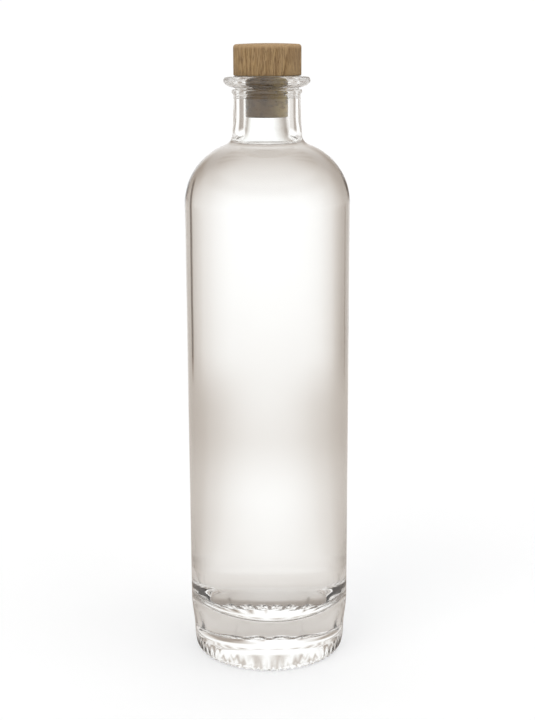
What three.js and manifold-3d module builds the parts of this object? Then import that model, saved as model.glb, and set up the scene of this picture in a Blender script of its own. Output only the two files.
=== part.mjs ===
// A stoppered spirits bottle in clear glass, filled to the foot of its neck.
// Millimetres, +Z up, origin at the centre of the ring that the bottle stands on.
// Four pieces: the blown glass, the liquid in it, and a stopper made of a turned
// wooden head with a natural cork glued into its underside.
import * as THREE from "three";
import { mergeVertices } from "three/addons/utils/BufferGeometryUtils.js";
import Module from "manifold-3d";

// Body of the glass
const bodyRadius = 37.4;
const wall = 4.3;
const shoulderStart = 213.6; // height where the side begins to curve in
const shoulderRadius = 28; // of the shoulder's outside arc
const footTop = 24; // the side draws in below this
const footDraw = 1.35; // how much it draws in
const heelHeight = 9; // the heel turns under below this
const heelWidth = 1.7; // how much it turns in before the standing ring

// Heavy base
const bearingWidth = 4; // flat standing ring between the heel and the push-up
const pushUp = 4.5; // depth of the hollow under the base
const floorRim = 23.5; // height of the inside floor next to its corner
const floorCrown = 2; // the floor rises this much at its centre
const floorCorner = 6; // radius between the floor and the side, inside
const knurlCount = 60;
const knurlDepth = 0.6;
const knurlWidth = 1.7; // of each groove at the standing face
const knurlTaper = 0.5; // each flank of a groove leans in by this much

// Neck and mouth
const neckLength = 25.7; // from the shoulder's last curve up to the mouth
const boreRadius = 9.6;
const boreDepth = 18.4; // straight part of the bore, which holds the cork
const throatRadius = 13.2; // bore at the foot of the neck
const throatFillet = 4;
const flareEase = 2; // power of the bore's flare: it opens slowly, then faster
const neckFootRadius = 15.7;
const neckTopRadius = 15.1;
const neckEase = 2; // power of the neck's widening towards its foot
const neckFillet = 4.8; // between the neck and the shoulder, outside
const mouthRounding = 1;
const lipRadius = 19.4;
const lipTopRounding = 2.1;
const lipUnderHeight = 3; // the lip's rounded underside
const grooveRadius = 14.3;
const grooveHeight = 0.7; // between the lip and the bead
const beadHeight = 2.1;
const beadProud = 0.7; // beyond the neck

// Liquid
const fillAboveThroat = 0.1; // the level stands just over the foot of the bore's flare
const liquidGap = 0.3; // film between the liquid's solid and the glass

// Stopper
const corkClearance = 0.3; // between the cork and the bore
const corkReach = 18; // below the top of the lip
const corkChamfer = 0.9;
const glueLine = 0.3; // around and above the cork in the head
const socketDepth = 6.5; // of the blind hole in the head
const headRadius = 15.1;
const headHeight = 14.1;
const headCrown = 0.4; // the top is very slightly domed
const headTopRounding = 1.4;
const headFootChamfer = 0.5;

// Facets
const around = 48;
const roundStep = 18; // degrees for each facet of a round
const smallStep = 30; // degrees for each facet of the small rounds at the mouth and the bead
const shoulderStep = 8; // degrees for each facet of the shoulder
const domeFacets = 5; // from the axis to the rim of a shallow dome
const easedFacets = 5; // along the neck, the bore's flare and the foot

const wasm = await Module();
wasm.setup();

// A profile is a list of points (radius, height).
const at = (radius, height) => new THREE.Vector2(radius, height);

// Points on an elliptical arc, both ends included. Angles are in degrees from +radius towards +height.
function arc(centre, radius, from, to, step = roundStep, heightRadius = radius) {
  const count = Math.max(2, Math.ceil(Math.abs(to - from) / step));
  return Array.from({ length: count + 1 }, (_, i) => {
    const angle = THREE.MathUtils.degToRad(from + ((to - from) * i) / count);
    return at(centre.x + radius * Math.cos(angle), centre.y + heightRadius * Math.sin(angle));
  });
}

// Points down a side that draws in gently, with no corner at either end of the stretch.
function drawnIn(fromHeight, fromRadius, toHeight, toRadius) {
  return Array.from({ length: easedFacets + 1 }, (_, i) => {
    const share = i / easedFacets;
    const drawn = THREE.MathUtils.smoothstep(share, 0, 1);
    return at(
      THREE.MathUtils.lerp(fromRadius, toRadius, drawn),
      THREE.MathUtils.lerp(fromHeight, toHeight, share),
    );
  });
}

// Points from one height to another, with the radius eased by a power of the share of the way.
function eased(fromHeight, fromRadius, toHeight, toRadius, power) {
  return Array.from({ length: easedFacets + 1 }, (_, i) => {
    const share = i / easedFacets;
    const height = THREE.MathUtils.lerp(fromHeight, toHeight, share);
    return at(fromRadius + (toRadius - fromRadius) * share ** power, height);
  });
}

// A shallow dome from the axis to a rim, as the arc of a large circle through both.
function dome(rimRadius, rimHeight, rise) {
  const big = (rimRadius ** 2 + rise ** 2) / (2 * rise);
  const centreHeight = rimHeight + rise - big;
  return Array.from({ length: domeFacets + 1 }, (_, i) => {
    const radius = (rimRadius * i) / domeFacets;
    return at(radius, centreHeight + Math.sqrt(big ** 2 - radius ** 2));
  });
}

// The round that joins an upright wall to the shoulder's arc: its centre, and the angle where it
// leaves the arc. Both arcs share the shoulder's centre, so the wall of glass keeps its thickness.
function shoulderJoin(arcRadius, wallRadius, fillet) {
  const reach = arcRadius + fillet;
  const across = wallRadius + fillet - shoulderCentre.x;
  const rise = Math.sqrt(reach ** 2 - across ** 2);
  return {
    centre: at(wallRadius + fillet, shoulderCentre.y + rise),
    angle: THREE.MathUtils.radToDeg(Math.atan2(rise, across)),
  };
}

const shoulderCentre = at(bodyRadius - shoulderRadius, shoulderStart);
const neckJoin = shoulderJoin(shoulderRadius, neckFootRadius, neckFillet);
const throatJoin = shoulderJoin(shoulderRadius - wall, throatRadius, throatFillet);
const glassHeight = neckJoin.centre.y + neckLength;
const boreEnd = glassHeight - boreDepth;
const fillLevel = throatJoin.centre.y + fillAboveThroat;

// The inside of the glass from the centre of the floor up to the end of the straight bore,
// drawn in by an inset so that the liquid's own outline comes from the same values.
function cavityProfile(inset) {
  const sideRadius = bodyRadius - wall - inset;
  const cornerRadius = floorCorner - inset;
  const innerShoulder = shoulderRadius - wall - inset;
  const rimRadius = sideRadius - cornerRadius;
  const rimHeight = floorRim + inset;
  const throat = throatRadius - inset;
  const join = shoulderJoin(innerShoulder, throat, throatFillet + inset);
  return [
    ...dome(rimRadius, rimHeight, floorCrown),
    ...arc(at(rimRadius, rimHeight + cornerRadius), cornerRadius, -90, 0).slice(1),
    ...arc(shoulderCentre, innerShoulder, 0, join.angle, shoulderStep),
    ...arc(join.centre, throatFillet + inset, join.angle + 180, 180).slice(1),
    ...eased(boreEnd, boreRadius - inset, join.centre.y, throat, flareEase).reverse().slice(1),
  ];
}

// The outside, from the round of the mouth over the lip, down the bottle and under its base.
function outsideProfile() {
  const lipWaist = glassHeight - lipTopRounding;
  const lipFoot = lipWaist - lipUnderHeight;
  const beadTop = lipFoot - grooveHeight;
  const beadMiddle = beadTop - beadHeight / 2;
  const beadFoot = beadTop - beadHeight;
  const footRadius = bodyRadius - footDraw;
  const bearingOuter = footRadius - heelWidth;
  const bearingInner = bearingOuter - bearingWidth;
  const mouth = at(boreRadius + mouthRounding, glassHeight - mouthRounding);
  const underLip = at(grooveRadius, lipWaist);
  return [
    ...arc(mouth, mouthRounding, 180, 90, smallStep),
    ...arc(at(lipRadius - lipTopRounding, lipWaist), lipTopRounding, 90, 0, smallStep),
    ...arc(underLip, lipRadius - grooveRadius, 0, -90, roundStep, lipUnderHeight).slice(1),
    at(grooveRadius, beadTop),
    ...arc(at(neckTopRadius, beadMiddle), beadProud, 90, -90, smallStep, beadHeight / 2),
    ...eased(beadFoot, neckTopRadius, neckJoin.centre.y, neckFootRadius, neckEase).slice(1),
    ...arc(neckJoin.centre, neckFillet, 180, neckJoin.angle + 180).slice(1),
    ...arc(shoulderCentre, shoulderRadius, neckJoin.angle, 0, shoulderStep).slice(1),
    ...drawnIn(footTop, bodyRadius, heelHeight, footRadius),
    ...arc(at(bearingOuter, heelHeight), heelWidth, 0, -90, roundStep, heelHeight).slice(1),
    ...dome(bearingInner, 0, pushUp).reverse(),
  ];
}

// A profile turned about the Z axis. It begins and ends on the axis.
function turned(profile) {
  return new THREE.LatheGeometry(profile, around).rotateX(Math.PI / 2);
}

function solidFrom(geometry) {
  const bare = geometry.clone();
  bare.deleteAttribute("normal");
  bare.deleteAttribute("uv");
  const merged = mergeVertices(bare, 1e-4);
  return new wasm.Manifold(
    new wasm.Mesh({
      numProp: 3,
      vertProperties: new Float32Array(merged.attributes.position.array),
      triVerts: new Uint32Array(merged.index.array),
    }),
  );
}

function geometryFrom(solid) {
  const mesh = solid.getMesh();
  return new THREE.BufferGeometry()
    .setAttribute("position", new THREE.BufferAttribute(mesh.vertProperties, 3))
    .setIndex(new THREE.BufferAttribute(mesh.triVerts, 1));
}

// One tapered bar, lying along a radius across the standing ring, that cuts a groove of the knurl.
function knurlCutter() {
  const half = knurlWidth / 2;
  const below = 1; // how far the bar reaches under the standing face
  const lean = (knurlTaper * below) / knurlDepth;
  const section = new THREE.Shape([
    at(-half - lean, -below),
    at(half + lean, -below),
    at(half - knurlTaper, knurlDepth),
    at(-half + knurlTaper, knurlDepth),
  ]);
  const overrun = 1; // past each side of the ring
  const start = bodyRadius - footDraw - heelWidth - bearingWidth - overrun;
  const length = bearingWidth + heelWidth + 2 * overrun;
  return new THREE.ExtrudeGeometry(section, { depth: length, bevelEnabled: false })
    .rotateX(Math.PI / 2)
    .rotateZ(Math.PI / 2)
    .translate(start, 0, 0);
}

function glassGeometry() {
  const outside = outsideProfile();
  const inside = cavityProfile(0);
  const blank = solidFrom(turned([...inside, ...outside].reverse()));
  const cutter = knurlCutter();
  const turn = (2 * Math.PI) / knurlCount;
  const cutters = Array.from({ length: knurlCount }, (_, i) =>
    solidFrom(cutter.clone().rotateZ(turn * (i + 0.5))),
  );
  return geometryFrom(blank.subtract(wasm.Manifold.union(cutters)));
}

function liquidGeometry() {
  const outline = cavityProfile(liquidGap);
  const firstAbove = outline.findIndex((point) => point.y > fillLevel);
  const below = outline[firstAbove - 1];
  const above = outline[firstAbove];
  const share = (fillLevel - below.y) / (above.y - below.y);
  const rim = below.clone().lerp(above, share);
  return turned([...outline.slice(0, firstAbove), rim, at(0, fillLevel)]);
}

function corkGeometry() {
  const radius = boreRadius - corkClearance;
  const foot = glassHeight - corkReach;
  const top = glassHeight + socketDepth - glueLine;
  return turned([
    at(0, foot),
    at(radius - corkChamfer, foot),
    at(radius, foot + corkChamfer),
    at(radius, top),
    at(0, top),
  ]);
}

function headGeometry() {
  const socketRadius = boreRadius - corkClearance + glueLine;
  const rimHeight = glassHeight + headHeight - headCrown;
  const flatRadius = headRadius - headTopRounding;
  return turned([
    at(0, glassHeight + socketDepth),
    at(socketRadius, glassHeight + socketDepth),
    at(socketRadius, glassHeight),
    at(headRadius - headFootChamfer, glassHeight),
    at(headRadius, glassHeight + headFootChamfer),
    ...arc(at(flatRadius, rimHeight - headTopRounding), headTopRounding, 0, 90).slice(0, -1),
    ...dome(flatRadius, rimHeight, headCrown).reverse(),
  ]);
}

const clearGlass = new THREE.MeshStandardMaterial({
  color: 0xe9eeec,
  roughness: 0.05,
  metalness: 0,
  transparent: true,
  opacity: 0.35,
});
const clearLiquid = new THREE.MeshStandardMaterial({
  color: 0xf3f1ee,
  roughness: 0.02,
  metalness: 0,
  transparent: true,
  opacity: 0.25,
});
const naturalCork = new THREE.MeshStandardMaterial({ color: 0x9c7d58, roughness: 0.9, metalness: 0 });
const turnedWood = new THREE.MeshStandardMaterial({ color: 0xa27c52, roughness: 0.7, metalness: 0 });

function named(name, geometry, material) {
  const mesh = new THREE.Mesh(geometry, material);
  mesh.name = name;
  return mesh;
}

const bottle = new THREE.Group();
const stopper = new THREE.Group();
stopper.add(
  named("stopper_head", headGeometry(), turnedWood),
  named("stopper_cork", corkGeometry(), naturalCork),
);
bottle.add(
  named("glass_bottle", glassGeometry(), clearGlass),
  named("liquid", liquidGeometry(), clearLiquid),
  stopper,
);

export default bottle;
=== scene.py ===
"""A stoppered bottle of clear glass, filled with a clear spirit, on a pale studio floor.

Metres, +Z up, the bottle's axis on Z and its standing ring on z = 0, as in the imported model.
Every visible piece is a surface of revolution, computed as whole numpy arrays.
"""

import math

import bpy
import numpy as np
from mathutils import Euler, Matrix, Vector


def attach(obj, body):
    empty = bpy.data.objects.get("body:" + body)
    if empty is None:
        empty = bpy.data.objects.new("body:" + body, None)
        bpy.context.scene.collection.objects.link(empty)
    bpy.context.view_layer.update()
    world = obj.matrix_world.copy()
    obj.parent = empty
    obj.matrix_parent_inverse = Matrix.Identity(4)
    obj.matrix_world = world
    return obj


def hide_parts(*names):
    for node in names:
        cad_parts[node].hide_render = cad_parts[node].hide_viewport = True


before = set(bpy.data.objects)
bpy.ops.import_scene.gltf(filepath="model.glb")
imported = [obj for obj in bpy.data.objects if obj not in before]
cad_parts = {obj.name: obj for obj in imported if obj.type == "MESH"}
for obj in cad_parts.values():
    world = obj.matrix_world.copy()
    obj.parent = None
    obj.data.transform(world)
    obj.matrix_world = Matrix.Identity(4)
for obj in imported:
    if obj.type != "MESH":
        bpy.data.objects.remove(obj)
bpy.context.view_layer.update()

MM = 0.001
TURN = 2 * math.pi

# Body of the glass, millimetres
BODY_RADIUS = 37.4
WALL = 4.3
SHOULDER_START = 213.6
SHOULDER_RADIUS = 28.0
FOOT_TOP = 24.0
FOOT_DRAW = 1.35
HEEL_HEIGHT = 9.0
HEEL_WIDTH = 1.7

# Heavy base
BEARING_WIDTH = 4.0
RING_INNER_ROUNDING = 0.8
RING_OUTER_ROUNDING = 0.5
PUSH_UP = 4.5
PUSH_UP_FOOT = 0.35
HOLLOW_TOP = 15.0  # inside points lie higher, points of the push-up lower
FLOOR_RIM = 23.5
FLOOR_CROWN = 2.0
FLOOR_CORNER = 6.0
KNURLS = 60
KNURL_DEPTH = 0.6
KNURL_FADE = (0.5, 2.4)
FLUTE_DEPTH = 0.25
FLUTE_START = (0.3, 1.5)
FLUTE_END = (3.0, HEEL_HEIGHT - 1)

# Neck and mouth
GLASS_HEIGHT = 270.16
BORE_RADIUS = 9.6
BORE_DEPTH = 18.4
THROAT_RADIUS = 13.2
THROAT_FILLET = 4.0
NECK_FOOT_RADIUS = 15.7
NECK_TOP_RADIUS = 15.1
NECK_FILLET = 4.8
MOUTH_ROUNDING = 1.0
LIP_RADIUS = 19.4
LIP_TOP_ROUNDING = 2.1
LIP_UNDER_HEIGHT = 3.0
GROOVE_RADIUS = 14.3
GROOVE_HEIGHT = 0.7
GROOVE_ROUNDING = 0.3
BEAD_HEIGHT = 2.1
BEAD_PROUD = 0.7

# Liquid
FILL_LEVEL = 240.28
FILM = 0.02  # gap between the liquid and the glass
LOW_WALL = 60.0  # the liquid's floor and the wall up to here are raised by the film
MENISCUS = np.array([(0, 0), (0.3, 0.45), (0.8, 0.75), (1.6, 0.92), (3.0, 1.0)])  # (inwards, down)
LIQUID_SIDE_TOP = FILL_LEVEL - 1.1

# Stopper
CORK_REACH = 18.0
CORK_RADIUS = 9.3
CORK_SWELL = 0.25  # the solid is drawn clear of the bore, and the cork here fills it
CORK_CHAMFER = 0.9
CORK_TOP = GLASS_HEIGHT + 6.2
SOCKET_RADIUS = 9.6
SOCKET_DEPTH = 6.5
HEAD_RADIUS = 15.1
HEAD_HEIGHT = 14.1
HEAD_CROWN = 0.4
HEAD_TOP_ROUNDING = 1.4
HEAD_FOOT_CHAMFER = 0.5
HEAD_GAP = 0.1  # lets light in under the head
HEAD_SHIFT = 0.3  # the head is glued on slightly to one side

# Faces round each piece
GLASS_AROUND = 480
LIQUID_AROUND = 240
CORK_AROUND = 192
HEAD_AROUND = 240


# Profiles: arrays of (radius, height) in millimetres

def arc(centre, radius, start, end, count, height_radius=None):
    """count + 1 points at centre + (radius cos t, height_radius sin t), t from start to end in
    degrees."""
    t = np.radians(np.linspace(start, end, count + 1))
    tall = radius if height_radius is None else height_radius
    return np.column_stack([centre[0] + radius * np.cos(t), centre[1] + tall * np.sin(t)])


def straight(first, last, count):
    """count + 1 points evenly spaced from first to last."""
    return np.linspace(first, last, count + 1)


def eased(from_height, from_radius, to_height, to_radius, power, count):
    """Heights evenly spaced, radius = from + (to - from) * share ** power."""
    share = np.linspace(0, 1, count + 1)
    height = from_height + (to_height - from_height) * share
    return np.column_stack([from_radius + (to_radius - from_radius) * share**power, height])


def drawn_in(from_height, from_radius, to_height, to_radius, count):
    """Heights evenly spaced, radius = from + (to - from) * (3 share^2 - 2 share^3)."""
    share = np.linspace(0, 1, count + 1)
    height = from_height + (to_height - from_height) * share
    smooth = share**2 * (3 - 2 * share)
    return np.column_stack([from_radius + (to_radius - from_radius) * smooth, height])


def dome(rim_radius, rim_height, rise, count):
    """From the axis to the rim on a circle of radius (rim^2 + rise^2) / (2 rise)."""
    big = (rim_radius**2 + rise**2) / (2 * rise)
    radius = np.linspace(0, rim_radius, count + 1)
    return np.column_stack([radius, rim_height + rise - big + np.sqrt(big**2 - radius**2)])


def shoulder_join(arc_radius, wall_radius, fillet):
    """Centre of the round between an upright wall and the shoulder's arc, and the angle where it
    leaves the arc: both circles touch, so their centres are arc_radius + fillet apart."""
    across = wall_radius + fillet - (BODY_RADIUS - SHOULDER_RADIUS)
    rise = math.sqrt((arc_radius + fillet) ** 2 - across**2)
    angle = math.degrees(math.atan2(rise, across))
    return (wall_radius + fillet, SHOULDER_START + rise), angle


def join(*parts):
    """The parts one after another, without points closer than a hundredth of a millimetre."""
    points = np.vstack(parts)
    far = np.hypot(*np.diff(points, axis=0).T) > 0.01
    return points[np.concatenate([[True], far])]


def cavity_profile():
    """Inside of the glass, from the centre of the floor up to the end of the straight bore."""
    side = BODY_RADIUS - WALL
    rim = side - FLOOR_CORNER
    shoulder = (BODY_RADIUS - SHOULDER_RADIUS, SHOULDER_START)
    inner = SHOULDER_RADIUS - WALL
    centre, angle = shoulder_join(inner, THROAT_RADIUS, THROAT_FILLET)
    bore_end = GLASS_HEIGHT - BORE_DEPTH
    return join(
        dome(rim, FLOOR_RIM, FLOOR_CROWN, 12),
        arc((rim, FLOOR_RIM + FLOOR_CORNER), FLOOR_CORNER, -85, 0, 12),
        straight((side, FLOOR_RIM + FLOOR_CORNER), (side, SHOULDER_START), 14),
        arc(shoulder, inner, 0, angle, 18),
        arc(centre, THROAT_FILLET, angle + 180, 180, 8),
        eased(bore_end, BORE_RADIUS, centre[1], THROAT_RADIUS, 2, 12)[::-1],
    )


def foot_profile():
    """From the centre of the push-up under the base, over the standing ring and up the heel to the
    straight wall."""
    foot = BODY_RADIUS - FOOT_DRAW
    ring_out = foot - HEEL_WIDTH
    ring_in = ring_out - BEARING_WIDTH
    inner, outer = RING_INNER_ROUNDING, RING_OUTER_ROUNDING
    return join(
        dome(ring_in - inner, PUSH_UP_FOOT, PUSH_UP, 12),
        arc((ring_in, inner), inner, -140, -90, 3),
        straight((ring_in, 0), (ring_out - outer, 0), 6),
        arc((ring_out - outer, outer), outer, -90, -45, 3),
        arc((ring_out, HEEL_HEIGHT), HEEL_WIDTH, -75, 0, 10, HEEL_HEIGHT),
        drawn_in(HEEL_HEIGHT, foot, FOOT_TOP, BODY_RADIUS, 8),
    )


def mouth_profile(bead_foot):
    """From the bead over the groove and the lip, and down to the end of the straight bore."""
    bead_top = bead_foot + BEAD_HEIGHT
    lip_waist = GLASS_HEIGHT - LIP_TOP_ROUNDING
    lip_flat = LIP_RADIUS - LIP_TOP_ROUNDING
    lip_out = LIP_RADIUS - GROOVE_RADIUS
    groove = (GROOVE_RADIUS + GROOVE_ROUNDING, bead_top + GROOVE_HEIGHT / 2)
    mouth = (BORE_RADIUS + MOUTH_ROUNDING, GLASS_HEIGHT - MOUTH_ROUNDING)
    return join(
        arc((NECK_TOP_RADIUS, bead_foot + BEAD_HEIGHT / 2), BEAD_PROUD, -80, 75, 7, BEAD_HEIGHT / 2),
        arc(groove, GROOVE_ROUNDING, -110, -250, 5, GROOVE_HEIGHT / 2),
        arc((GROOVE_RADIUS, lip_waist), lip_out, -84, 0, 11, LIP_UNDER_HEIGHT),
        arc((lip_flat, lip_waist), LIP_TOP_ROUNDING, 0, 90, 8),
        straight((lip_flat, GLASS_HEIGHT), (mouth[0], GLASS_HEIGHT), 2),
        arc(mouth, MOUTH_ROUNDING, 90, 180, 6),
        straight((BORE_RADIUS, mouth[1]), (BORE_RADIUS, GLASS_HEIGHT - BORE_DEPTH), 3),
    )


def outside_profile():
    """From the centre of the push-up under the base, up the outside, over the lip and down the
    bore."""
    bead_foot = GLASS_HEIGHT - LIP_TOP_ROUNDING - LIP_UNDER_HEIGHT - GROOVE_HEIGHT - BEAD_HEIGHT
    centre, angle = shoulder_join(SHOULDER_RADIUS, NECK_FOOT_RADIUS, NECK_FILLET)
    shoulder = (BODY_RADIUS - SHOULDER_RADIUS, SHOULDER_START)
    return join(
        foot_profile(),
        straight((BODY_RADIUS, FOOT_TOP), (BODY_RADIUS, SHOULDER_START), 6),
        arc(shoulder, SHOULDER_RADIUS, 0, angle, 20),
        arc(centre, NECK_FILLET, angle + 180, 180, 8),
        eased(bead_foot, NECK_TOP_RADIUS, centre[1], NECK_FOOT_RADIUS, 2, 8)[::-1],
        mouth_profile(bead_foot),
    )


# Surfaces

def turned(name, profile, around, shape=None, shift=0.0):
    """A closed surface turned about Z, at x = r cos a, y = r sin a with a = 2 pi j / around.

    The profile starts and ends on the axis, where each pole is one vertex. shape(r, z, a) may
    return another radius and height for the points between. shift moves the axis along X. All
    are in millimetres.
    """
    r, z = profile.T
    angle = TURN * np.arange(around) / around
    ring_r, ring_a = np.meshgrid(r[1:-1], angle, indexing="ij")
    ring_z = np.repeat(z[1:-1, None], around, axis=1)
    if shape:
        ring_r, ring_z = shape(ring_r, ring_z, ring_a)
    rings = np.stack([ring_r * np.cos(ring_a), ring_r * np.sin(ring_a), ring_z], axis=-1)
    points = np.vstack([[[0, 0, z[0]]], rings.reshape(-1, 3), [[0, 0, z[-1]]]])
    points = (points + [shift, 0, 0]) * MM
    count = len(r) - 2
    j = np.arange(around)
    k = (j + 1) % around
    rows = 1 + around * np.arange(count)[:, None]
    quads = np.stack([rows[:-1] + j, rows[:-1] + k, rows[1:] + k, rows[1:] + j], axis=-1)
    last = len(points) - 1
    foot = np.column_stack([np.zeros_like(j), 1 + k, 1 + j])
    cap = np.column_stack([rows[-1] + j, rows[-1] + k, np.full_like(j, last)])
    corners = np.concatenate([foot.ravel(), quads.ravel(), cap.ravel()])
    sizes = np.repeat([3, 4, 3], [around, (count - 1) * around, around])
    mesh = bpy.data.meshes.new(name)
    mesh.vertices.add(len(points))
    mesh.vertices.foreach_set("co", points.ravel())
    mesh.loops.add(len(corners))
    mesh.loops.foreach_set("vertex_index", corners.astype(np.int32))
    mesh.polygons.add(len(sizes))
    starts = np.concatenate([[0], np.cumsum(sizes)[:-1]])
    mesh.polygons.foreach_set("loop_start", starts.astype(np.int32))
    mesh.update(calc_edges=True)
    mesh.validate()
    mesh.shade_smooth()
    piece = bpy.data.objects.new(name, mesh)
    bpy.context.scene.collection.objects.link(piece)
    return piece


def face_heights(piece):
    """Height of each face's centre, in millimetres."""
    centres = np.empty(len(piece.data.polygons) * 3)
    piece.data.polygons.foreach_get("center", centres)
    return centres[2::3] / MM


def face_rows(piece, around):
    """Which stretch of the profile each face was turned from."""
    return np.arange(len(piece.data.polygons)) // around


def soft_step(value, low, high):
    """0 below low, 1 above high and 3 t^2 - 2 t^3 between."""
    t = np.clip((value - low) / (high - low), 0, 1)
    return t**2 * (3 - 2 * t)


def inside_waves(r, z, a):
    """Unevenness of the blown inside, in millimetres.

    The floor rises by (r / 27)^2 (0.3 sin(2 a + 1) + 0.15 sin(3 a + 2.3)), and the wall swells by
    0.06 sin(2 a + z / 40) + 0.04 sin(3 a - z / 25). Each fades where the other takes over, and
    the wall's swell fades again below the shoulder, from z = 185 to 225.
    """
    inner = (r < BODY_RADIUS - WALL + 0.01) & (z > HOLLOW_TOP)
    low = 1 - soft_step(z, FLOOR_RIM + 5, FLOOR_RIM + 34)
    side = soft_step(z, FLOOR_RIM + 4, FLOOR_RIM + 40) * (1 - soft_step(z, 185, 225))
    rise = (r / 27) ** 2 * (0.30 * np.sin(2 * a + 1.0) + 0.15 * np.sin(3 * a + 2.3))
    swell = 0.06 * np.sin(2 * a + z / 40) + 0.04 * np.sin(3 * a - z / 25)
    return r + inner * side * swell, z + inner * low * rise


def glass_shape(r, z, a):
    """Knurl of the standing ring, its shallow flutes up the heel, and the uneven inside.

    Each groove lifts the ring by depth * s, where s goes softly from 0 to 1 as |sin(n a / 2)|
    goes from 0.4 to 1, with n grooves round; a land lies at a = 0, as in the solids. A flute
    draws the heel in by its own depth * s. Both fade with height.
    """
    ring_out = BODY_RADIUS - FOOT_DRAW - HEEL_WIDTH
    ring_in = ring_out - BEARING_WIDTH
    groove = soft_step(np.abs(np.sin(KNURLS * a / 2)), 0.4, 1.0)
    on_ring = soft_step(r, ring_in - 0.9, ring_in + 0.3) * (1 - soft_step(z, *KNURL_FADE))
    on_heel = (r > ring_out - 0.1) * soft_step(z, *FLUTE_START) * (1 - soft_step(z, *FLUTE_END))
    r, z = inside_waves(r, z, a)
    return r - FLUTE_DEPTH * groove * on_heel, z + KNURL_DEPTH * groove * on_ring


def make_glass():
    """The glass: up the outside, over the lip, down the bore and back along the inside."""
    profile = join(outside_profile(), cavity_profile()[::-1])
    return turned("glass_bottle_fine", profile, GLASS_AROUND, glass_shape)


def make_liquid():
    """The spirit, a thin film clear of the glass, with its top drawn up at the wall."""
    cavity = cavity_profile()
    below = cavity[cavity[:, 1] < FILL_LEVEL]
    below = np.column_stack([np.maximum(below[:, 0] - FILM, 0), below[:, 1]])
    below[below[:, 1] < LOW_WALL, 1] += FILM
    top = np.array([below[-1, 0], FILL_LEVEL]) - MENISCUS
    return turned("liquid_fine", join(below, top, [(0, top[-1, 1])]), LIQUID_AROUND, inside_waves)


def make_cork():
    """The cork, a plain cylinder with a rounded foot that fills the bore."""
    foot = GLASS_HEIGHT - CORK_REACH
    radius = CORK_RADIUS + CORK_SWELL
    profile = join(
        straight((0, foot), (radius - CORK_CHAMFER, foot), 8),
        arc((radius - CORK_CHAMFER, foot + CORK_CHAMFER), CORK_CHAMFER, -90, 0, 6),
        straight((radius, foot + CORK_CHAMFER), (radius, CORK_TOP), 40),
        straight((radius, CORK_TOP), (0, CORK_TOP), 8),
    )
    return turned("stopper_cork_fine", profile, CORK_AROUND)


def make_head():
    """The wooden head with its blind hole, a tenth of a millimetre above the glass."""
    foot = GLASS_HEIGHT + HEAD_GAP
    hole_top = GLASS_HEIGHT + SOCKET_DEPTH
    rim = GLASS_HEIGHT + HEAD_HEIGHT - HEAD_CROWN
    round_foot = rim - HEAD_TOP_ROUNDING
    chamfer = HEAD_FOOT_CHAMFER
    flat = HEAD_RADIUS - HEAD_TOP_ROUNDING
    profile = join(
        straight((0, hole_top), (SOCKET_RADIUS, hole_top), 6),
        straight((SOCKET_RADIUS, hole_top), (SOCKET_RADIUS, foot), 8),
        straight((SOCKET_RADIUS, foot), (HEAD_RADIUS - chamfer, foot), 6),
        arc((HEAD_RADIUS - chamfer, foot + chamfer), chamfer, -90, 0, 5),
        straight((HEAD_RADIUS, foot + chamfer), (HEAD_RADIUS, round_foot), 30),
        arc((flat, round_foot), HEAD_TOP_ROUNDING, 0, 86, 10),
        dome(flat, rim, HEAD_CROWN, 12)[::-1],
    )
    return turned("stopper_head_fine", profile, HEAD_AROUND, shift=HEAD_SHIFT)


# Shader nodes

def grey(level):
    """A grey as a colour with full cover."""
    return (level, level, level, 1)


def put(tree, socket, value):
    """Feeds a socket from another socket, or sets a plain number or tuple on it."""
    if isinstance(value, bpy.types.NodeSocket):
        tree.links.new(value, socket)
    else:
        socket.default_value = value


def math_node(tree, operation, first, second=0.0):
    """One sum on one or two numbers or sockets."""
    node = tree.nodes.new("ShaderNodeMath")
    node.operation = operation
    put(tree, node.inputs[0], first)
    put(tree, node.inputs[1], second)
    return node.outputs[0]


def map_node(tree, value, low, high, to_low=0.0, to_high=1.0):
    """From low..high to to_low..to_high, with soft ends."""
    node = tree.nodes.new("ShaderNodeMapRange")
    node.interpolation_type = "SMOOTHSTEP"
    for socket, number in zip(node.inputs, (value, low, high, to_low, to_high)):
        put(tree, socket, number)
    return node.outputs["Result"]


def mix_node(tree, share, first, second, blend="MIX"):
    """Mixes two colours."""
    node = tree.nodes.new("ShaderNodeMix")
    node.data_type = "RGBA"
    node.blend_type = blend
    for socket, value in zip((node.inputs[0], node.inputs[6], node.inputs[7]), (share, first, second)):
        put(tree, socket, value)
    return node.outputs[2]


def split_node(tree, vector):
    """The X, Y and Z of a vector."""
    node = tree.nodes.new("ShaderNodeSeparateXYZ")
    tree.links.new(vector, node.inputs[0])
    return node.outputs


def noise_node(tree, vector, scale, detail):
    """Smooth noise about 0.5, with scale swells to each unit of the vector."""
    node = tree.nodes.new("ShaderNodeTexNoise")
    node.inputs["Detail"].default_value = detail
    put(tree, node.inputs["Scale"], scale)
    put(tree, node.inputs["Vector"], vector)
    return node.outputs["Fac"]


def bump_node(tree, height, depth, sunk=False):
    """The normal of a surface raised by height (0 to 1) times depth in metres, or sunk by it."""
    node = tree.nodes.new("ShaderNodeBump")
    node.invert = sunk
    put(tree, node.inputs["Distance"], depth)
    put(tree, node.inputs["Height"], height)
    return node.outputs["Normal"]


def object_place(tree):
    """The point on the piece, in metres."""
    return tree.nodes.new("ShaderNodeTexCoord").outputs["Object"]


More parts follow.
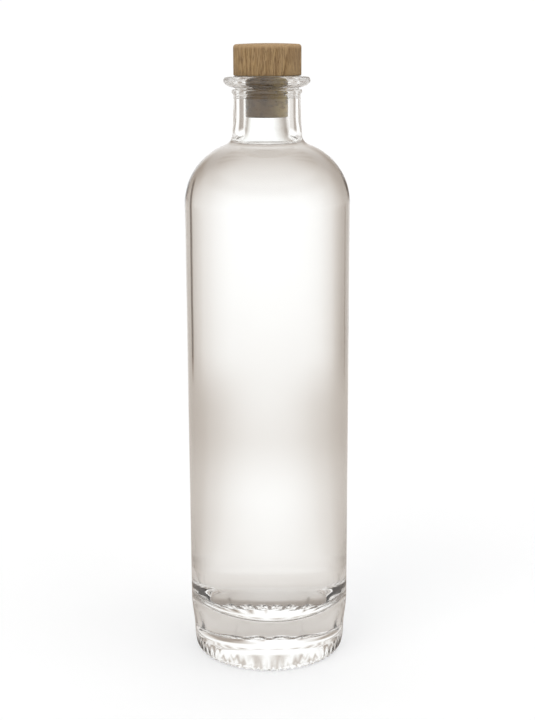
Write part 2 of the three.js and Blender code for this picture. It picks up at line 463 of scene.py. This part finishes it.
def ramp_node(tree, value, stops, interpolation="CARDINAL"):
    """Grey levels at places from 0 to 1."""
    node = tree.nodes.new("ShaderNodeValToRGB")
    ramp = node.color_ramp
    ramp.interpolation = interpolation
    while len(ramp.elements) < len(stops):
        ramp.elements.new(0.5)
    for element, (place, level) in zip(ramp.elements, stops):
        element.position = place
        element.color = grey(level)
    put(tree, node.inputs["Fac"], value)
    return node.outputs["Color"]


def tinted(tree, base, colour, mask, strength):
    """The base colour with another over it, by mask times strength."""
    return mix_node(tree, math_node(tree, "MULTIPLY", mask, strength), base, colour)


def new_group(name, inputs, outputs):
    """An empty shader node group with named inputs and outputs."""
    group = bpy.data.node_groups.new(name, "ShaderNodeTree")
    for label, kind in inputs.items():
        group.interface.new_socket(label, in_out="INPUT", socket_type="NodeSocket" + kind)
    for label, kind in outputs.items():
        group.interface.new_socket(label, in_out="OUTPUT", socket_type="NodeSocket" + kind)
    inside = group.nodes.new("NodeGroupInput").outputs
    outside = group.nodes.new("NodeGroupOutput").inputs
    return group, inside, outside


def place_group(tree, group, **values):
    """Places a group in a material; values are sockets or plain numbers, named by input."""
    node = tree.nodes.new("ShaderNodeGroup")
    node.node_tree = group
    for label, value in values.items():
        put(tree, node.inputs[label.replace("_", " ")], value)
    return node.outputs


def strokes_group():
    """Short dark strokes along Z: noise squeezed by Across in x and y and by Along in z, per metre."""
    group, given, result = new_group(
        "fine_strokes",
        {"Point": "Vector", "Across": "Float", "Along": "Float", "Start": "Float", "Full": "Float"},
        {"Mask": "Float"},
    )
    point = split_node(group, given["Point"])
    squeezed = group.nodes.new("ShaderNodeCombineXYZ")
    for axis, rate in (("X", "Across"), ("Y", "Across"), ("Z", "Along")):
        put(group, squeezed.inputs[axis], math_node(group, "MULTIPLY", point[axis], given[rate]))
    noise = noise_node(group, squeezed.outputs[0], 1.0, 2.0)
    put(group, result["Mask"], map_node(group, noise, given["Start"], given["Full"]))
    return group


def growth_group():
    """Growth rings about an upright pith line: the distance from it, bent by noise, over the
    spacing, and of that the part after the point. 0 is the dark start of a year."""
    group, given, result = new_group(
        "growth_rings",
        {"Point": "Vector", "Pith X": "Float", "Pith Y": "Float", "Spacing": "Float", "Bend": "Float"},
        {"Year": "Float"},
    )
    point = split_node(group, given["Point"])
    along_x = math_node(group, "SUBTRACT", point["X"], given["Pith X"])
    along_y = math_node(group, "SUBTRACT", point["Y"], given["Pith Y"])
    squares = math_node(
        group,
        "ADD",
        math_node(group, "MULTIPLY", along_x, along_x),
        math_node(group, "MULTIPLY", along_y, along_y),
    )
    noise = noise_node(group, given["Point"], 75.0, 1.5)
    bend = math_node(group, "MULTIPLY", math_node(group, "SUBTRACT", noise, 0.5), given["Bend"])
    distance = math_node(group, "ADD", math_node(group, "SQRT", squares), bend)
    years = math_node(group, "DIVIDE", distance, given["Spacing"])
    put(group, result["Year"], math_node(group, "FRACT", years))
    return group


def uneven_group():
    """Slow swells of a surface that was blown or moulded hot, as a normal."""
    group, given, result = new_group(
        "slow_swells", {"Point": "Vector", "Waves": "Float", "Depth": "Float"}, {"Normal": "Vector"}
    )
    noise = noise_node(group, given["Point"], given["Waves"], 0.5)
    put(group, result["Normal"], bump_node(group, noise, given["Depth"]))
    return group


# Materials

GLASS_IOR = 1.52
SPIRIT_IOR = 1.36

OAK_DARK = (0.305, 0.185, 0.075, 1)
OAK_PALE = (0.425, 0.275, 0.122, 1)
OAK_CLOUD = (0.300, 0.187, 0.097, 1)
OAK_PORE = (0.165, 0.088, 0.030, 1)
OAK_SHINE = (0.44, 0.30, 0.155, 1)
# Painted highlight on the head's rounded top edge
OAK_EDGE_HIGHLIGHT = (0.50, 0.33, 0.175, 1)
# Painted light on the head's underside
OAK_UNDERSIDE_LIGHT = (0.48, 0.43, 0.32, 1)

# Painted shade on the cork's -X side
CORK_SHADED_SIDE = (0.130, 0.080, 0.034, 1)
CORK_PALE = (0.56, 0.42, 0.17, 1)
CORK_LAYER = (0.34, 0.22, 0.09, 1)
CORK_CLOUD = (0.20, 0.125, 0.05, 1)
CORK_LENTICEL = (0.05, 0.028, 0.012, 1)


def new_material(name):
    """A material with its nodes and its main shader."""
    material = bpy.data.materials.new(name)
    material.use_nodes = True
    return material, material.node_tree, material.node_tree.nodes["Principled BSDF"]


def clear_material(name, tint, ior, shadow_tint, swells, waves, depth):
    """Clear refracting material that lets the lamps' light through to the floor."""
    material, tree, shader = new_material(name)
    shader.inputs["Base Color"].default_value = (*tint, 1)
    shader.inputs["Roughness"].default_value = 0.0
    shader.inputs["Transmission Weight"].default_value = 1.0
    shader.inputs["IOR"].default_value = ior
    if depth:
        surface = place_group(tree, swells, Point=object_place(tree), Waves=waves, Depth=depth)
        put(tree, shader.inputs["Normal"], surface["Normal"])
    clear = tree.nodes.new("ShaderNodeBsdfTransparent")
    clear.inputs["Color"].default_value = (*shadow_tint, 1)
    mix = tree.nodes.new("ShaderNodeMixShader")
    put(tree, mix.inputs["Fac"], tree.nodes.new("ShaderNodeLightPath").outputs["Is Shadow Ray"])
    put(tree, mix.inputs[1], shader.outputs["BSDF"])
    put(tree, mix.inputs[2], clear.outputs["BSDF"])
    put(tree, tree.nodes["Material Output"].inputs["Surface"], mix.outputs["Shader"])
    return material


def wood_material(strokes, growth):
    """Oak turned along the grain: years about an upright pith, short dark pores along Z that show
    as dots on the top, a painted highlight as a paler band round the top edge, and painted light
    that makes the underside pale where it is seen through the lip."""
    material, tree, shader = new_material("turned_oak")
    point = object_place(tree)
    rings = place_group(
        tree, growth, Point=point, Pith_X=-0.034, Pith_Y=0.025, Spacing=0.0021, Bend=0.0045
    )
    year = map_node(tree, rings["Year"], 0.0, 0.75)
    wood = mix_node(tree, year, OAK_DARK, OAK_PALE)
    cloud = noise_node(tree, point, 160.0, 1.0)
    wood = mix_node(tree, map_node(tree, cloud, 0.35, 0.65, 0.0, 0.35), wood, OAK_CLOUD)
    pores = place_group(
        tree, strokes, Point=point, Across=2300.0, Along=240.0, Start=0.50, Full=0.63
    )["Mask"]
    wood = tinted(tree, wood, OAK_PORE, pores, 0.6)
    shine = place_group(
        tree, strokes, Point=point, Across=2000.0, Along=160.0, Start=0.50, Full=0.74
    )["Mask"]
    wood = tinted(tree, wood, OAK_SHINE, shine, 0.35)
    height = split_node(tree, point)["Z"]
    rim = (GLASS_HEIGHT + HEAD_HEIGHT - HEAD_CROWN) * MM
    # Painted highlight: a paler band round the rounded top edge, where it faces up to the light,
    # fading out on the top face
    edge = map_node(tree, height, rim - 0.0022, rim - 0.0008)
    under_top = map_node(tree, height, rim - 0.0002, rim + 0.0001, 1.0, 0.15)
    wood = tinted(tree, wood, OAK_EDGE_HIGHLIGHT, math_node(tree, "MULTIPLY", edge, under_top), 0.75)
    # Painted light: the underside of the head is made pale, standing in for light that reaches it
    # through the lip
    foot = GLASS_HEIGHT * MM
    underside_light = map_node(tree, height, foot + 0.0001, foot + 0.0004, 1.0, 0.0)
    wood = mix_node(tree, underside_light, wood, OAK_UNDERSIDE_LIGHT)
    put(tree, shader.inputs["Base Color"], wood)
    put(tree, shader.inputs["Roughness"], map_node(tree, year, 0.0, 1.0, 0.74, 0.60))
    put(tree, shader.inputs["Normal"], bump_node(tree, pores, 0.00012, sunk=True))
    return material


def cork_material(strokes, growth):
    """Natural cork: broad growth layers about a pith far off at -X, the -X side painted darker as
    shade, and dark lenticels across them.
    """
    material, tree, shader = new_material("natural_cork")
    point = object_place(tree)
    rings = place_group(
        tree, growth, Point=point, Pith_X=-0.09, Pith_Y=-0.02, Spacing=0.0042, Bend=0.004
    )
    # Painted shade: the cork is darkest towards -X and palest towards +X
    shaded_side = map_node(tree, split_node(tree, point)["X"], -0.001, 0.009)
    cork = mix_node(tree, shaded_side, CORK_SHADED_SIDE, CORK_PALE)
    cork = tinted(tree, cork, CORK_LAYER, map_node(tree, rings["Year"], 0.0, 0.9), 0.25)
    cloud = noise_node(tree, point, 420.0, 3.0)
    cork = mix_node(tree, map_node(tree, cloud, 0.42, 0.60, 0.0, 0.6), cork, CORK_CLOUD)
    turn = tree.nodes.new("ShaderNodeMapping")
    turn.inputs["Rotation"].default_value = (0.0, math.pi / 2, 0.35)
    put(tree, turn.inputs["Vector"], point)
    lenticels = place_group(
        tree, strokes, Point=turn.outputs["Vector"], Across=900.0, Along=190.0, Start=0.62, Full=0.68
    )["Mask"]
    cork = tinted(tree, cork, CORK_LENTICEL, lenticels, 0.6)
    put(tree, shader.inputs["Base Color"], cork)
    put(tree, shader.inputs["Roughness"], map_node(tree, cloud, 0.3, 0.7, 0.95, 0.8))
    put(tree, shader.inputs["Normal"], bump_node(tree, lenticels, 0.0002, sunk=True))
    return material


# Studio: floor, walls, lamps and camera

SKY = 0.5  # the grey that lights the pieces from all round
BACKDROP_WHITE = 1.02
FLOOR_WHITE = 1.03
FLOOR_ALBEDO = 0.8
FLOOR_HALF = 6.0
WALL_DISTANCE = 10.0
WARM_GAIN = 1.14
WARM_POWERS = (("Red", 0.87), ("Green", 1.0), ("Blue", 1.12))

# Name, the place that it shines from, power, spread in degrees
LAMPS = (
    ("key", (-0.9, -1.0, 1.3), 0.9, 40),
    ("fill", (1.2, -0.6, 0.9), 0.5, 60),
    ("top", (0.1, 0.25, 1.5), 0.75, 45),
)
LAMPS_ON_FLOOR = sum(power * Vector(place).normalized().z for _, place, power, _ in LAMPS)
FLOOR_LIT = FLOOR_ALBEDO * (SKY + LAMPS_ON_FLOOR / math.pi)

CAMERA_PLACE = (-0.0002, -0.588, 0.287)
CAMERA_LENS = 65.05
CAMERA_SENSOR = 36
CAMERA_SHIFT = -23 / 720
CAMERA_DOWN = 13
CAMERA_ROLL = -0.27

# Grey levels of the studio round the bottle, as (degrees from +Y towards +X, level)
FLOOR_FAR_SIDES = (
    (-180, 1.0), (-158, 0.92), (-135, 0.75), (-112, 0.92), (-90, 1.0), (-74, 0.58), (-60, 0.23),
    (-50, 0.30), (-40, 0.42), (-29, 0.66), (-21, 0.86), (-11, 1.0), (11, 1.0), (21, 0.85),
    (29, 0.72), (40, 0.57), (52, 0.40), (62, 0.31), (75, 0.62), (90, 1.0), (112, 0.92),
    (135, 0.75), (158, 0.92), (180, 1.0),
)
FLOOR_NEAR_SIDES = (
    (-180, 1.0), (-158, 0.90), (-135, 0.70), (-112, 0.90), (-90, 1.0), (-74, 0.70), (-58, 0.48),
    (-40, 0.52), (-25, 0.62), (-14, 0.80), (-6, 0.96), (6, 0.96), (14, 0.80), (25, 0.60),
    (40, 0.52), (58, 0.50), (74, 0.70), (90, 1.0), (112, 0.90), (135, 0.70), (158, 0.90),
    (180, 1.0),
)
FLOOR_EDGE_LINE = ((-180, 1.0), (40.5, 1.0), (42, 0.1), (45, 0.1), (46.5, 1.0), (180, 1.0))
WALL_SEAMS = (
    (-180, 1.0), (-75, 1.0), (-62, 0.85), (-54, 0.32), (-30, 0.28), (-23, 0.65), (-15, 1.0),
    (4, 1.0), (13, 0.5), (20, 0.28), (27, 0.28), (33, 0.5), (40, 0.64), (57, 0.70), (66, 0.90),
    (76, 1.0), (180, 1.0),
)
CEILING_SIDES = ((-180, 0.35), (-85, 0.35), (-62, 1.0), (62, 1.0), (85, 0.35), (180, 0.35))
CEILING_PANELS = (
    (-180, 0.8), (-56, 0.8), (-50, 0.4), (-44, 1.0), (-38, 0.4), (-32, 1.0), (-26, 0.4),
    (-20, 1.0), (-15, 0.4), (-10, 1.0), (-4, 0.5), (1, 1.0), (6, 0.5), (11, 1.0), (16, 0.4),
    (21, 1.0), (27, 0.4), (33, 1.0), (39, 0.4), (45, 1.0), (51, 0.4), (57, 0.8), (180, 0.8),
)

# Grey levels of the floor by distance from the axis, as (share of the reach, level)
CONTACT_REACH = 0.12
CONTACT_SHADE = (
    (0.0, 0.56), (0.27, 0.58), (0.285, 0.34), (0.31, 0.34), (0.325, 0.60), (0.45, 0.64),
    (0.60, 0.72), (1.0, 0.75),
)


def compass(stops):
    """Ramp stops from (degrees from +Y towards +X, level)."""
    return [(degrees / 360 + 0.5, level) for degrees, level in stops]


def surround_group():
    """What the studio looks like from the bottle, in each level direction.

    Near by there is the floor: shaded under and round the bottle, dimmer to both sides, with one
    thin dark line, and shining where it is seen at a low angle. Far off there are white walls with
    soft dark seams, and over them a ceiling that is dimmer to the sides, has narrow panels above
    that and is white overhead. Distance is along the floor in metres, Steepness the sine of the
    angle at which the floor is seen, and Height that of a direction upwards.
    """
    group, given, result = new_group(
        "studio_surround",
        {"X": "Float", "Y": "Float", "Distance": "Float", "Steepness": "Float", "Height": "Float"},
        {"Color": "Color"},
    )
    turn = math_node(group, "ARCTAN2", given["X"], given["Y"])
    turn = math_node(group, "ADD", math_node(group, "DIVIDE", turn, TURN), 0.5)
    away = given["Distance"]
    high = given["Height"]

    # Floor
    contact = math_node(group, "DIVIDE", away, CONTACT_REACH)
    contact = ramp_node(group, contact, CONTACT_SHADE, "LINEAR")
    ground = math_node(group, "MULTIPLY", contact, map_node(group, away, 0.2, 0.36, 1.0, 0.71))
    shine = map_node(group, given["Steepness"], 0.12, 0.5, 0.42, 0.0)
    shine = math_node(group, "MULTIPLY", shine, map_node(group, away, 0.05, 0.12))
    tone = math_node(group, "MINIMUM", math_node(group, "ADD", ground, shine), 1.0)
    near_sides = ramp_node(group, turn, compass(FLOOR_NEAR_SIDES))
    far_sides = ramp_node(group, turn, compass(FLOOR_FAR_SIDES))
    sides = mix_node(group, map_node(group, away, 0.40, 0.62), near_sides, far_sides)
    floor = mix_node(group, 1.0, sides, tone, "MULTIPLY")
    line = ramp_node(group, turn, compass(FLOOR_EDGE_LINE), "LINEAR")
    lined = mix_node(group, 1.0, floor, line, "MULTIPLY")
    floor = mix_node(group, map_node(group, away, 0.45, 0.6), floor, lined)

    # Walls and ceiling
    seams = ramp_node(group, turn, compass(WALL_SEAMS), "LINEAR")
    ceiling = ramp_node(group, turn, compass(CEILING_SIDES), "LINEAR")
    panels = ramp_node(group, turn, compass(CEILING_PANELS), "LINEAR")
    ceiling = mix_node(group, map_node(group, high, 0.62, 0.68), ceiling, panels)
    ceiling = mix_node(group, map_node(group, high, 0.86, 0.93), ceiling, grey(1))
    walls = mix_node(group, map_node(group, high, 0.30, 0.50), seams, ceiling)

    level = mix_node(group, map_node(group, away, 1.6, 3.0), floor, walls)
    level = math_node(group, "MAXIMUM", level, 0.01)
    warm = group.nodes.new("ShaderNodeCombineColor")
    for channel, power in WARM_POWERS:
        raised = math_node(group, "POWER", level, power)
        put(group, warm.inputs[channel], math_node(group, "MULTIPLY", raised, WARM_GAIN))
    put(group, result["Color"], warm.outputs["Color"])
    return group


def ray_masks(tree):
    """1 for camera rays, and 1 for rays that come by glass or gloss."""
    path = tree.nodes.new("ShaderNodeLightPath").outputs
    bounced = math_node(tree, "MAXIMUM", path["Is Glossy Ray"], path["Is Transmission Ray"])
    return path["Is Camera Ray"], bounced


def make_floor(surround):
    """A large level floor: white to the eye, with the bottle's shadow kept."""
    mesh = bpy.data.meshes.new("studio_floor")
    half = FLOOR_HALF
    corners = [(-half, -half, 0), (half, -half, 0), (half, half, 0), (-half, half, 0)]
    mesh.from_pydata(corners, [], [(0, 1, 2, 3)])
    floor = bpy.data.objects.new("studio_floor", mesh)
    bpy.context.scene.collection.objects.link(floor)
    material, tree, shader = new_material("pale_floor")
    place = object_place(tree)
    length = tree.nodes.new("ShaderNodeVectorMath")
    length.operation = "LENGTH"
    put(tree, length.inputs[0], place)
    away = length.outputs["Value"]
    facing = tree.nodes.new("ShaderNodeLayerWeight").outputs["Facing"]
    steepness = math_node(tree, "SUBTRACT", 1.0, facing)
    x, y, _ = split_node(tree, place)
    seen = place_group(tree, surround, X=x, Y=y, Distance=away, Steepness=steepness, Height=0.0)
    camera_ray, bounced = ray_masks(tree)
    tone = mix_node(tree, bounced, grey(1), seen["Color"])
    albedo = mix_node(tree, 1.0, tone, grey(FLOOR_ALBEDO), "MULTIPLY")
    put(tree, shader.inputs["Base Color"], albedo)
    put(tree, shader.inputs["Emission Color"], tone)
    to_camera = math_node(tree, "MULTIPLY", camera_ray, FLOOR_WHITE - FLOOR_LIT)
    to_glass = math_node(tree, "MULTIPLY", bounced, 1 - FLOOR_LIT)
    put(tree, shader.inputs["Emission Strength"], math_node(tree, "ADD", to_camera, to_glass))
    shader.inputs["Roughness"].default_value = 1.0
    shader.inputs["Specular IOR Level"].default_value = 0.0
    mesh.materials.append(material)


def make_world(surround):
    """White behind the bottle, the studio in glass and gloss, and a plain grey for other light."""
    world = bpy.data.worlds.new("studio_world")
    bpy.context.scene.world = world
    world.use_nodes = True
    tree = world.node_tree
    x, y, z = split_node(tree, tree.nodes.new("ShaderNodeTexCoord").outputs["Generated"])
    seen = place_group(tree, surround, X=x, Y=y, Distance=WALL_DISTANCE, Steepness=0.0, Height=z)
    camera_ray, bounced = ray_masks(tree)
    shade = mix_node(tree, camera_ray, grey(SKY), grey(BACKDROP_WHITE))
    background = tree.nodes["Background"]
    put(tree, background.inputs["Color"], mix_node(tree, bounced, shade, seen["Color"]))
    background.inputs["Strength"].default_value = 1.0


def make_lamp(name, place, power, spread):
    """A distant soft lamp that shines from place towards the bottle."""
    lamp = bpy.data.lights.new(name, "SUN")
    lamp.energy = power
    lamp.angle = math.radians(spread)
    holder = bpy.data.objects.new(name, lamp)
    bpy.context.scene.collection.objects.link(holder)
    holder.rotation_euler = (-Vector(place)).to_track_quat("-Z", "Y").to_euler()
    holder.visible_glossy = False
    holder.visible_transmission = False


def make_camera():
    """The camera that was fitted to the bottle's outline in the photograph."""
    camera = bpy.data.cameras.new("camera")
    camera.sensor_width = CAMERA_SENSOR
    camera.lens = CAMERA_LENS
    camera.shift_y = CAMERA_SHIFT
    camera.clip_end = 50
    holder = bpy.data.objects.new("camera", camera)
    bpy.context.scene.collection.objects.link(holder)
    holder.location = CAMERA_PLACE
    pitch = Euler((math.radians(90 - CAMERA_DOWN), 0, 0)).to_matrix()
    roll = Euler((0, 0, math.radians(CAMERA_ROLL))).to_matrix()
    holder.rotation_euler = (pitch @ roll).to_euler()
    bpy.context.scene.camera = holder


make_camera()
glass = make_glass()
liquid = make_liquid()
cork = make_cork()
head = make_head()

swells = uneven_group()
strokes = strokes_group()
growth = growth_group()
clear_glass = clear_material(
    "clear_glass", (0.97, 0.98, 0.975), GLASS_IOR, (0.72, 0.73, 0.75), swells, 45.0, 0.00004
)
wetted_glass = clear_material(
    "wetted_glass", (0.99, 0.99, 0.99), GLASS_IOR / SPIRIT_IOR, (1, 1, 1), swells, 60.0, 0.0002
)
spirit_top = clear_material("spirit_top", (1, 1, 1), SPIRIT_IOR, (1, 1, 1), swells, 30.0, 0.00003)
spirit_side = clear_material("spirit_side", (1, 1, 1), 1.0, (1, 1, 1), swells, 30.0, 0.0)

glass.data.materials.append(clear_glass)
glass.data.materials.append(wetted_glass)
cavity = face_rows(glass, GLASS_AROUND) >= len(outside_profile()) - 1
wetted = cavity & (face_heights(glass) < FILL_LEVEL)
glass.data.polygons.foreach_set("material_index", wetted.astype(np.int32))

liquid.data.materials.append(spirit_top)
liquid.data.materials.append(spirit_side)
side = face_heights(liquid) < LIQUID_SIDE_TOP
liquid.data.polygons.foreach_set("material_index", side.astype(np.int32))

head.data.materials.append(wood_material(strokes, growth))
cork.data.materials.append(cork_material(strokes, growth))

for piece, body, node, slot in (
    (glass, "bottle", "glass_bottle", "clear_glass"),
    (liquid, "bottle", "liquid", "clear_liquid"),
    (cork, "stopper", "stopper_cork", "natural_cork"),
    (head, "stopper", "stopper_head", "turned_wood"),
):
    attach(piece, body)
    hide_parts(node)

surround = surround_group()
make_floor(surround)
make_world(surround)
for lamp in LAMPS:
    make_lamp(*lamp)

scene = bpy.context.scene
scene.view_settings.view_transform = "Standard"
scene.cycles.max_bounces = 64
scene.cycles.glossy_bounces = 64
scene.cycles.transmission_bounces = 64
scene.cycles.transparent_max_bounces = 24
